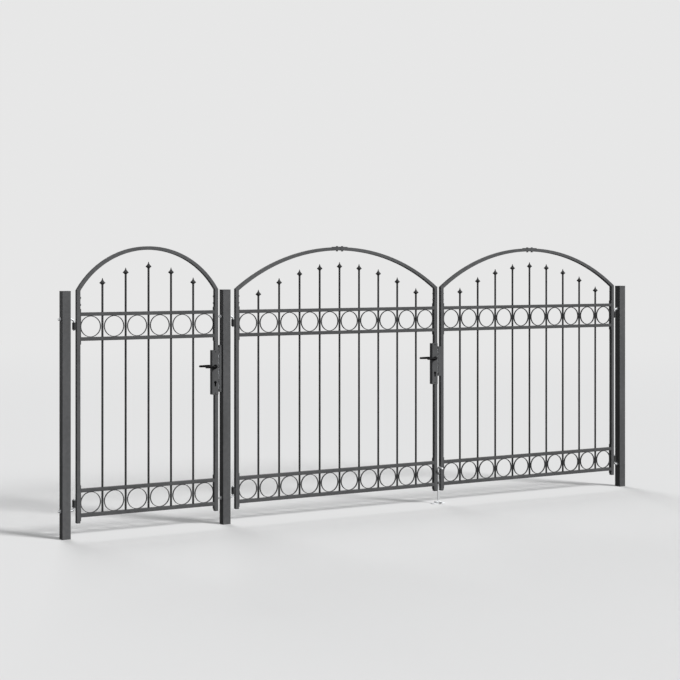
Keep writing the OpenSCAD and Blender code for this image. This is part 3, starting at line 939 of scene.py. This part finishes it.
@dataclass
class FrameWelds:
    """Weld beads that hold the rings, bars, rails, heads and barrels of a leaf, and its mitres."""

    leaf: Leaf
    ring_bead_l: float = 15 * MM
    ring_bead_r: float = 2.1 * MM
    rail_bead_r: float = 1.9 * MM
    hinge_bead_r: float = 1.8 * MM
    mitre_bead_r: float = 1.6 * MM
    bead_inset: float = 1 * MM
    mitre_inset: float = 1.5 * MM
    collar_w: float = 1.7 * MM
    socket_w: float = 1.3 * MM
    sunk: float = 0.3 * MM

    def ring_welds(self) -> Patch:
        """A bead on each face of every ring, where it meets the rail over it and the rail under it.

        Returns:
            The beads.
        """
        s = SIZES
        lower, upper = s.lower_z + s.rail_h, s.upper_z + s.rail_h
        heights = [lower, lower + s.ring_od, upper, upper + s.ring_od]
        faces = [-s.ring_d / 2, s.ring_d / 2]
        rod = bead(self.ring_bead_l, self.ring_bead_r, Axis.X, ripples=7)
        return rod.repeated(spots(self.leaf.rings, heights, faces))

    def bar_welds(self) -> Patch:
        """A thin collar around every bar, over and under each rail.

        Its section is a hollow fillet: out at the rail, and up along the bar.

        Returns:
            The collars.
        """
        s, w = SIZES, self.collar_w
        r = s.bar_d / 2
        hidden = r - self.sunk
        section = [(hidden, 0), (r + w, 0), (r + 0.35 * w, 0.35 * w), (r + 0.1 * w, w), (hidden, w)]
        over = turned_ring(section, segments=20)
        low = spots(self.leaf.bars, s.rail_zs)
        hung = low[low[:, 2] > s.lower_z + MM]
        return Patch.joined([over.repeated(low + [0, 0, s.rail_h]), over.mirrored(2).repeated(hung)])

    def socket_welds(self) -> Patch:
        """A small round fillet on each bar under its spear head.

        Returns:
            The fillets.
        """
        s, w, top = SIZES, self.socket_w, self.sunk
        r = s.bar_d / 2
        hidden = r - self.sunk
        section = [
            (hidden, -w), (r + 0.1 * w, -w), (r + 0.55 * w, -0.5 * w), (s.socket_r, top), (hidden, top)
        ]
        ends = self.leaf.socket_ends
        places = np.stack([self.leaf.bars, 0 * ends, ends], axis=-1)
        return turned_ring(section, segments=20).repeated(places)

    def hinge_welds(self) -> Patch:
        """A bead over and under each barrel, where its foot stands on the stile."""
        places = spots(0.0, edges(SIZES.barrel_zs, SIZES.barrel_h))
        return bead_across(SIZES.barrel_w, self.bead_inset, self.hinge_bead_r).repeated(places)

    def rail_welds(self) -> Patch:
        """A bead along the top and the underside of each rail's end.

        Returns:
            The beads.
        """
        end = SIZES.stile_w + SIZES.strip_t
        places = spots([end, self.leaf.width - end], edges(SIZES.rail_zs, SIZES.rail_h))
        return bead_across(SIZES.depth, self.bead_inset, self.rail_bead_r).repeated(places)

    def mitre_welds(self) -> Patch:
        """A bead across each mitre between stile and arch, on its inner corner."""
        places = spots([SIZES.stile_w, self.leaf.width - SIZES.stile_w], self.leaf.mitre_z)
        return bead_across(SIZES.depth, self.mitre_inset, self.mitre_bead_r).repeated(places)

    def build(self, shop: Workshop) -> None:
        """Adds the beads as pieces of the leaf, a piece for each kind.

        Args:
            shop: The workshop that makes the pieces.
        """
        for name, patch, slot in (
            ("ring_welds", self.ring_welds(), Slot.BAND),
            ("bar_welds", self.bar_welds(), Slot.BAR),
            ("rail_welds", self.rail_welds(), Slot.BAND),
            ("mitre_welds", self.mitre_welds(), Slot.FRAME),
            ("socket_welds", self.socket_welds(), Slot.BAR),
            ("hinge_welds", self.hinge_welds(), Slot.HARDWARE),
        ):
            shop.piece(f"{self.leaf.name}_{name}", self.leaf.placed(patch), slot, self.leaf.body)


@dataclass
class FrameBolts:
    """Bolts through the inner faces of a leaf's stiles, and the plugs in the stiles' feet."""

    leaf: Leaf
    head_r: float = 6.5 * MM
    head_h: float = 4.6 * MM
    washer_r: float = 8.2 * MM
    washer_t: float = 1.2 * MM
    sunk: float = 0.2 * MM
    levels: tuple[float, ...] = (0.101, 0.283, 1.081, 1.263, 1.293, 1.332)
    lip: Profile = (
        (1.6 * MM, -2.8 * MM), (0.9 * MM, -2.2 * MM), (0.2 * MM, -1.0 * MM), (0.3 * MM, 0.0)
    )
    plug_corner: float = 2 * MM

    def bolts(self) -> Patch:
        """The bolts of one stile, each a washer and a six-sided head with a bevelled top, along X.

        Returns:
            The bolts, on the stile's inner face.
        """
        t, r, h = self.washer_t, self.head_r, self.head_h
        washer = turned([(self.washer_r, -self.sunk), (self.washer_r, t)], Axis.X)
        head = turned([(r, t), (r, t + 0.72 * h), (0.86 * r, t + h)], Axis.X, 6, turn=math.pi / 6)
        return Patch.joined([washer, head]).repeated(spots(SIZES.stile_w, self.levels))

    def plug(self) -> Patch:
        """A plug with a thin rounded lip under a stile's foot."""
        lip = plate((SIZES.stile_w, SIZES.depth), self.plug_corner, self.lip, Axis.Z)
        return lip.moved((SIZES.stile_w / 2, 0, SIZES.foot_z))

    def build(self, shop: Workshop) -> None:
        """Adds the bolts of both stiles, and the foot plugs.

        Args:
            shop: The workshop that makes the pieces.
        """
        leaf = self.leaf
        for name, patch, slot, smooth in (
            ("frame_bolts", self.bolts(), Slot.HARDWARE, 30.0),
            ("foot_plugs", self.plug(), Slot.CYLINDER, 40.0),
        ):
            both = leaf.placed(patch.doubled(0, leaf.width / 2))
            shop.piece(f"{leaf.name}_{name}", both, slot, leaf.body, smooth)


@dataclass
class HingeThreads:
    """Threads that show on the hinge studs, beyond the nuts on both sides of a post."""

    crest: float = 6.25 * MM
    root: float = 5.8 * MM
    pitch: float = 1.75 * MM
    post_w: float = 50 * MM
    nut_h: float = 6 * MM
    stud_end: float = 9 * MM
    end_inset: float = 1.2 * MM
    nut_inset: float = 0.4 * MM
    bend_inset: float = 0.5 * MM
    gap: float = 27 * MM
    bend: float = 18 * MM
    pin_x: float = -11 * MM
    levels: tuple[float, float] = (0.153, 1.214)

    def build(self, shop: Workshop) -> None:
        """Adds the threads of all six studs as one piece of the posts.

        The far thread runs from short of the stud's end to short of its nut, and the near one from
        the face of its nut to short of the pin's bend.

        Args:
            shop: The workshop that makes the piece.
        """
        shape = (self.crest, self.root, self.pitch)
        far_l = self.stud_end - self.end_inset
        far = helix_thread(-far_l, far_l - self.nut_inset, *shape)
        near = helix_thread(0, self.gap - self.nut_h - self.bend - self.bend_inset, *shape)
        reach = self.gap + self.post_w + self.nut_h
        pair = Patch.joined([
            far.moved((self.pin_x - reach, 0, 0)),
            near.moved((self.pin_x - self.gap + self.nut_h, 0, 0)),
        ]).repeated(spots(0.0, self.levels))
        threads = Patch.joined(leaf.placed(pair) for leaf in LEAVES)
        shop.piece("stud_threads", threads, Slot.ZINC, Body.POSTS, smooth=60)


@dataclass
class LockTrim:
    """Screws and key ways on both faces of a lock case."""

    leaf: Leaf
    screw_r: float = 3.4 * MM
    screw_h: float = 1.2 * MM
    screw_inset: float = 9 * MM
    sunk: float = 0.3 * MM
    plug_r: float = 6.4 * MM
    plug_ease: float = 0.5 * MM
    plug_back: float = 1 * MM
    key_way: tuple[float, float] = (8.8 * MM, 2.2 * MM)

    def key_plug(self) -> Patch:
        """A round plug with an eased rim, along Y, and on it the key way: a thin raised near-black plate,
        as painted shade of the slot.

        Returns:
            The plug, with its rim just over the plane y = 0.
        """
        r, rise = self.plug_r, 0.1 * MM
        rim = [(r, -1.2 * MM), (r, rise), (r - self.plug_ease, self.plug_ease)]
        rows = [(0, 0.35 * MM), (0, 0.62 * MM)]
        # The key way plate is painted shade where the real slot is.
        return Patch.joined([turned(rim, Axis.Y, 28), plate(self.key_way, 0.6 * MM, rows, Axis.Y)])

    def build(self, shop: Workshop) -> None:
        """Adds the case's screws and the cylinder's key plugs as two pieces.

        Args:
            shop: The workshop that makes the pieces.
        """
        s, leaf, inset = SIZES, self.leaf, self.screw_inset
        mid, face = leaf.width - s.case_w / 2, s.case_d / 2
        screw = screw_head(self.screw_r, self.screw_h, -self.sunk, Axis.Y, 20)
        screws = screw.repeated(spots(mid, [s.case_z + inset, s.case_z + s.case_h - inset], face))
        centre = s.cylinder_top - s.cylinder_d / 2
        plug = self.key_plug().moved((mid, face - self.plug_back, centre))
        for name, patch in (("case_screws", screws), ("key_plugs", plug)):
            both = leaf.placed(patch.doubled(1))
            shop.piece(f"{leaf.name}_{name}", both, Slot.CYLINDER, leaf.body)


@dataclass
class HingeBarrels:
    """The barrels of a leaf: sleeves with eased rims, each on a foot that stands on the stile."""

    leaf: Leaf
    bore_r: float = 6.1 * MM
    ease: float = 0.8 * MM
    foot_t: float = 4.6 * MM
    foot_less: tuple[float, float] = (2 * MM, 1 * MM)
    foot_corner: float = 2 * MM

    def build(self, shop: Workshop) -> None:
        """Puts both barrels in the place of the frame's plain ones.

        A sleeve's section is a box with cut corners, turned about the pin. The foot is a plate, less
        wide and less tall than the sleeve.

        Args:
            shop: The workshop that makes the piece.
        """
        s, leaf, e = SIZES, self.leaf, self.ease
        r, h, bore = s.barrel_w / 2, s.barrel_h, self.bore_r
        section = [(bore + e, 0), (r - e, 0), (r, e), (r, h - e), (r - e, h), (bore + e, h)]
        section += [(bore, h - e), (bore, e)]
        sleeve = turned_ring(section, segments=40).moved((-r, 0, 0))
        size = (s.barrel_w - self.foot_less[0], h - self.foot_less[1])
        rows = [(e, -self.foot_t), (0.0, e - self.foot_t), (0.0, 0.0)]
        foot = plate(size, self.foot_corner, rows, Axis.X).moved((0, 0, h / 2))
        barrels = Patch.joined([sleeve, foot]).repeated(spots(0.0, s.barrel_zs))
        # The barrels take the bars' coat, which is darkened as painted shade.
        piece = shop.piece(f"{leaf.name}_barrels", leaf.placed(barrels), Slot.BAR, leaf.body)
        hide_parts(f"{leaf.name}_hinge_barrels")


@dataclass
class LeverHandles:
    """Both levers of a lock, on one spindle. Each has a round neck, a bend and an oval grip."""

    leaf: Leaf
    neck_r: float = 7.0 * MM
    spindle_r: float = 4.5 * MM
    play: float = 0.3 * MM
    out: float = 45.0 * MM
    bend_r: float = 20.0 * MM
    length: float = 77.0 * MM
    tip_half: tuple[float, float] = (5.0 * MM, 6.2 * MM)
    root_half: tuple[float, float] = (7.0 * MM, 7.6 * MM)
    neck_rows: int = 4
    bend_rows: int = 8
    nose_rows: int = 5

    def path(self) -> tuple[np.ndarray, np.ndarray]:
        """The middle line of a lever: out of the case along Y, round a quarter circle, and along -X.

        Returns:
            X and Y of its points, and how far out those on the round nose lie, up to nearly 1.
        """
        r, nose, quarter = self.bend_r, self.tip_half[0], math.pi / 2
        turn = np.linspace(0, quarter, self.bend_rows + 1)[1:]
        neck_y = np.linspace(SIZES.case_d / 2 + self.play, self.out - r, self.neck_rows)
        grip_x = np.linspace(-r, nose - self.length, self.bend_rows + 1)[1:]
        gone = np.sin(np.linspace(0, quarter, self.nose_rows + 1)[1:]) * 0.995
        arm_x = np.concatenate([grip_x, nose - self.length - nose * gone])
        x = np.concatenate([0 * neck_y, r * np.cos(turn) - r, arm_x])
        y = np.concatenate([neck_y, r * np.sin(turn) + self.out - r, np.full(len(arm_x), self.out)])
        return np.stack([x, y], axis=-1), gone

    def lever(self) -> Patch:
        """The lever on the +Y face, with its spindle on the Y axis.

        Across its path the section is an oval: half its width times cos(a) level, and half its height
        times sin(a) upwards. Both halves shrink evenly along the grip, and by a quarter circle at the
        nose.

        Returns:
            The lever.
        """
        path, gone = self.path()
        ahead = np.gradient(path, axis=0)
        ahead /= np.linalg.norm(ahead, axis=1, keepdims=True)
        share = np.clip((-self.bend_r - path[:, :1]) / (self.length - self.bend_r), 0, 1)
        ease = np.clip(path[:, 1:] / self.out * 2 - 1, 0, 1)
        root = self.neck_r + (np.array(self.root_half) - self.neck_r) * ease
        half = root + (np.array(self.tip_half) - root) * share
        half[-len(gone):] *= np.sqrt(1 - gone**2)[:, None]
        a = around(24)
        level = half[:, :1] * np.cos(a)
        x = path[:, :1] - ahead[:, 1:] * level
        y = path[:, 1:] + ahead[:, :1] * level
        return lofted(np.stack([x, y, half[:, 1:] * np.sin(a)], axis=-1))

    def build(self, shop: Workshop) -> None:
        """Puts both levers in the place of the frame's plain ones.

        Args:
            shop: The workshop that makes the piece.
        """
        leaf, reach = self.leaf, SIZES.case_d / 2 + MM
        spindle = turned([(self.spindle_r, -reach), (self.spindle_r, reach)], Axis.Y)
        both = Patch.joined([self.lever().doubled(1), spindle])
        both = both.moved((leaf.width - SIZES.case_w / 2, 0, SIZES.spindle_z))
        piece = shop.piece(f"{leaf.name}_handles", leaf.placed(both), Slot.LEVER, leaf.handle, smooth=60)
        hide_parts(f"{leaf.name}_levers")


@dataclass
class LockPlates:
    """The face plate on a case's edge and the strike plate across the gap, each with two openings."""

    leaf: Leaf
    strike_body: Body
    strike_z: float
    strike_h: float
    gap: float = 5.5 * MM
    plate_w: float = 22 * MM
    corner: float = 3 * MM
    thick: float = 0.8 * MM
    sunk: float = 0.2 * MM
    face_less: float = 24 * MM
    strike_less: float = 30 * MM
    screw_r: float = 3 * MM
    screw_h: float = 0.7 * MM
    screws_less: float = 42 * MM
    hole_w: float = 15 * MM
    face_hole_h: float = 24 * MM
    strike_hole_h: float = 30 * MM
    hole_zs: tuple[float, float] = (923 * MM, 835 * MM)

    def openings(self, x: float, tall: float) -> Patch:
        """Thin near-black plates for the latch and bolt openings, at the given place and height: painted
        shade in the holes.
        """
        rows = [(0, -0.2 * MM), (0, 0.15 * MM)]
        return plate((self.hole_w, tall), 1.2 * MM, rows, Axis.X).repeated(spots(x, self.hole_zs))

    def build(self, shop: Workshop) -> None:
        """Adds the face plate with its screws on the leaf, and the strike plate on its own body.

        Args:
            shop: The workshop that makes the pieces.
        """
        s, leaf, t, lip = SIZES, self.leaf, self.thick, self.thick - self.sunk
        rows = [(0.0, -self.sunk), (0.0, lip), (0.2 * MM, t)]
        mid, edge, across = s.case_z + s.case_h / 2, leaf.width, leaf.width + self.gap
        face = plate((self.plate_w, s.case_h - self.face_less), self.corner, rows, Axis.X)
        strike = plate((self.plate_w, self.strike_h - self.strike_less), self.corner, rows, Axis.X)
        levels = mid + np.array([-0.5, 0.5]) * (s.case_h - self.screws_less)
        screw = screw_head(self.screw_r, self.screw_h, 0.0, Axis.X, 16)
        # The openings are thin near-black plates on the plates' faces: painted shade in the latch and
        # bolt holes.
        strike_painted_shade_openings = self.openings(across - t, self.strike_hole_h).mirrored(0, across - t)
        strike = strike.mirrored(0).moved((across, 0, self.strike_z + self.strike_h / 2))
        for name, patch, slot, body in (
            ("face_plate", face.moved((edge, 0, mid)), Slot.KEEPER, leaf.body),
            ("face_plate_screws", screw.repeated(spots(edge + lip, levels)), Slot.ZINC, leaf.body),
            ("face_plate_painted_shade_openings", self.openings(edge + t, self.face_hole_h), Slot.CYLINDER, leaf.body),
            ("strike_plate", strike, Slot.KEEPER, self.strike_body),
            ("strike_painted_shade_openings", strike_painted_shade_openings, Slot.CYLINDER, self.strike_body),
        ):
            shop.piece(f"{leaf.name}_{name}", leaf.placed(patch), slot, body)


@dataclass
class KeeperScrews:
    """Two pan head screws, each with a round socket, in the feet of the floor keeper."""

    middle_x: float = 1489.8 * MM
    pitch: float = 66 * MM
    level: float = 3 * MM
    radius: float = 5.6 * MM
    height: float = 2.6 * MM
    socket_z: float = 0.9 * MM
    sunk: float = 0.2 * MM

    def build(self, shop: Workshop) -> None:
        """Adds both screws as one piece: a low dome with a socket that goes down into it.

        Args:
            shop: The workshop that makes the piece.
        """
        r = self.radius
        dome = domed(r, self.height, 6)[:4]
        socket = [[0.36 * r, dome[-1, 1]], [0.34 * r, self.socket_z]]
        screw = turned(np.concatenate([[[r, -self.sunk]], dome, socket]))
        places = spots(self.middle_x + np.array([-0.5, 0.5]) * self.pitch, self.level)
        shop.piece("keeper_screws", screw.repeated(places), Slot.ZINC, Body.POSTS)


@dataclass
class Dressing:
    """Puts each slot's finish on the frame's own parts."""

    materials: dict[Slot, bpy.types.Material]

    def dress(self, nodes: Mapping[str, bpy.types.Object], slots: Mapping[str, str]) -> None:
        """Gives each part its finish.

        Args:
            nodes: The frame's parts by name.
            slots: The slot of each part.
        """
        for name, part in nodes.items():
            material = self.materials[Slot(slots[name])]
            for place in part.material_slots:
                place.material = material
            LOG.info("%s: %s", name, material.name)


# Studio


@dataclass(frozen=True)
class Lamp:
    """One soft lamp, far away."""

    name: str
    towards: tuple[float, float, float]
    strength: float
    angle: float
    glints: bool = True

    def build(self) -> None:
        """Hangs the lamp and turns it, so that its light comes from the given direction."""
        data = bpy.data.lights.new(self.name, "SUN")
        data.energy, data.angle = self.strength, math.radians(self.angle)
        lamp = bpy.data.objects.new(self.name, data)
        bpy.context.scene.collection.objects.link(lamp)
        x, y, z = np.asarray(self.towards) / np.linalg.norm(self.towards)
        lamp.rotation_euler = (math.acos(z), 0, math.atan2(x, -y))
        lamp.visible_glossy = self.glints


@dataclass(frozen=True)
class Studio:
    """Floor, world, lamps and camera."""

    pale: tuple[float, float, float] = (0.80, 0.80, 0.80)
    floor_seen: tuple[float, float, float] = (0.69, 0.69, 0.69)
    floor_dull: tuple[float, float, float] = (0.16, 0.16, 0.16)
    sky: tuple[float, float, float] = (0.96, 0.98, 1.0)
    ambient: float = 0.18
    floor_r: float = 60.0
    floor_points: int = 96
    fade: tuple[float, float] = (6.0, 20.0)
    lamps: tuple[Lamp, ...] = (
        Lamp("key", towards=(0.50, -0.75, 0.55), strength=3.9, angle=16.0),
        Lamp("fill", towards=(0.10, 0.90, 0.42), strength=2.2, angle=30.0, glints=False),
    )
    lens: float = 77.8
    shift: tuple[float, float] = (0.000485, -0.11197)
    eye: tuple[float, float, float] = (-3.652, -7.817, 1.521)
    heading: float = -29.5

    def world(self) -> None:
        """A pale world that camera, gloss and glass see, and a weaker one that lights."""
        world = bpy.data.worlds.new("studio")
        bpy.context.scene.world = world
        g = Graph(world)
        lit = g.node("ShaderNodeBackground", inputs={0: self.sky, 1: self.ambient})
        seen = g.node("ShaderNodeBackground", inputs={0: self.pale})
        both = g.blend(g.ray("Camera", "Glossy", "Transmission"), lit, seen)
        g.node("ShaderNodeOutputWorld", inputs={0: both})

    def floor(self) -> None:
        """A plain pale disc that fades into the world's colour far from the gate.

        Its colour is duller for the light that it throws back up at the gate.
        """
        count = self.floor_points
        rim = spun([(self.floor_r, 0.0)], around(count))[0]
        j = np.arange(count)
        tris = np.stack([j, (j + 1) % count, np.full(count, count)], axis=-1)
        mesh = Patch(np.concatenate([rim, [[0, 0, 0]]]), tris=tris).mesh("floor")
        g = Coat("floor")
        far = g.node("ShaderNodeVectorMath", {"operation": "LENGTH"}, {0: g.place}, output="Value")
        glow = g.node("ShaderNodeEmission", inputs={"Color": self.pale})
        colour = g.mix(g.ray("Camera"), self.floor_dull, self.floor_seen)
        near = g.surface(Base_Color=colour, Roughness=0.9, Specular_IOR_Level=0.0)
        mesh.materials.append(g.finish(g.blend(far.step(*self.fade), near, glow)))
        floor = bpy.data.objects.new("floor", mesh)
        bpy.context.scene.collection.objects.link(floor)

    def camera(self) -> None:
        """The photograph's camera: level, and turned to the right of the gate's normal."""
        data = bpy.data.cameras.new("camera")
        data.sensor_width, data.lens = 36.0, self.lens
        data.shift_x, data.shift_y = self.shift
        data.clip_end = 300.0
        camera = bpy.data.objects.new("camera", data)
        bpy.context.scene.collection.objects.link(camera)
        camera.location = self.eye
        camera.rotation_euler = (math.radians(90), 0, math.radians(self.heading))
        bpy.context.scene.camera = camera

    def build(self) -> None:
        """Sets up the studio."""
        bpy.context.scene.view_settings.view_transform = "Standard"
        self.world()
        self.floor()
        for lamp in self.lamps:
            lamp.build()
        self.camera()


def main() -> None:
    """Builds the studio, dresses the frame and adds the pieces."""
    logging.basicConfig(level=logging.INFO, format="%(name)s %(message)s")
    Studio().build()
    materials = Finishes().by_slot()
    slots = {part["node"]: part["material_slot"] for part in frame["record"]["subparts"]}
    Dressing(materials).dress(frame["nodes"], slots)
    shop = Workshop(materials)
    for leaf in LEAVES:
        FrameWelds(leaf).build(shop)
        FrameBolts(leaf).build(shop)
        HingeBarrels(leaf).build(shop)
        if leaf.handle:
            LockTrim(leaf).build(shop)
            LeverHandles(leaf).build(shop)
    LockPlates(SIDE_GATE, Body.POSTS, strike_z=775 * MM, strike_h=272 * MM).build(shop)
    LockPlates(LEFT_LEAF, Body.RIGHT_LEAF, strike_z=811 * MM, strike_h=186 * MM).build(shop)
    HingeThreads().build(shop)
    KeeperScrews().build(shop)
    LOG.info("%d pieces", len(shop.pieces))


if __name__ == "__main__":
    main()
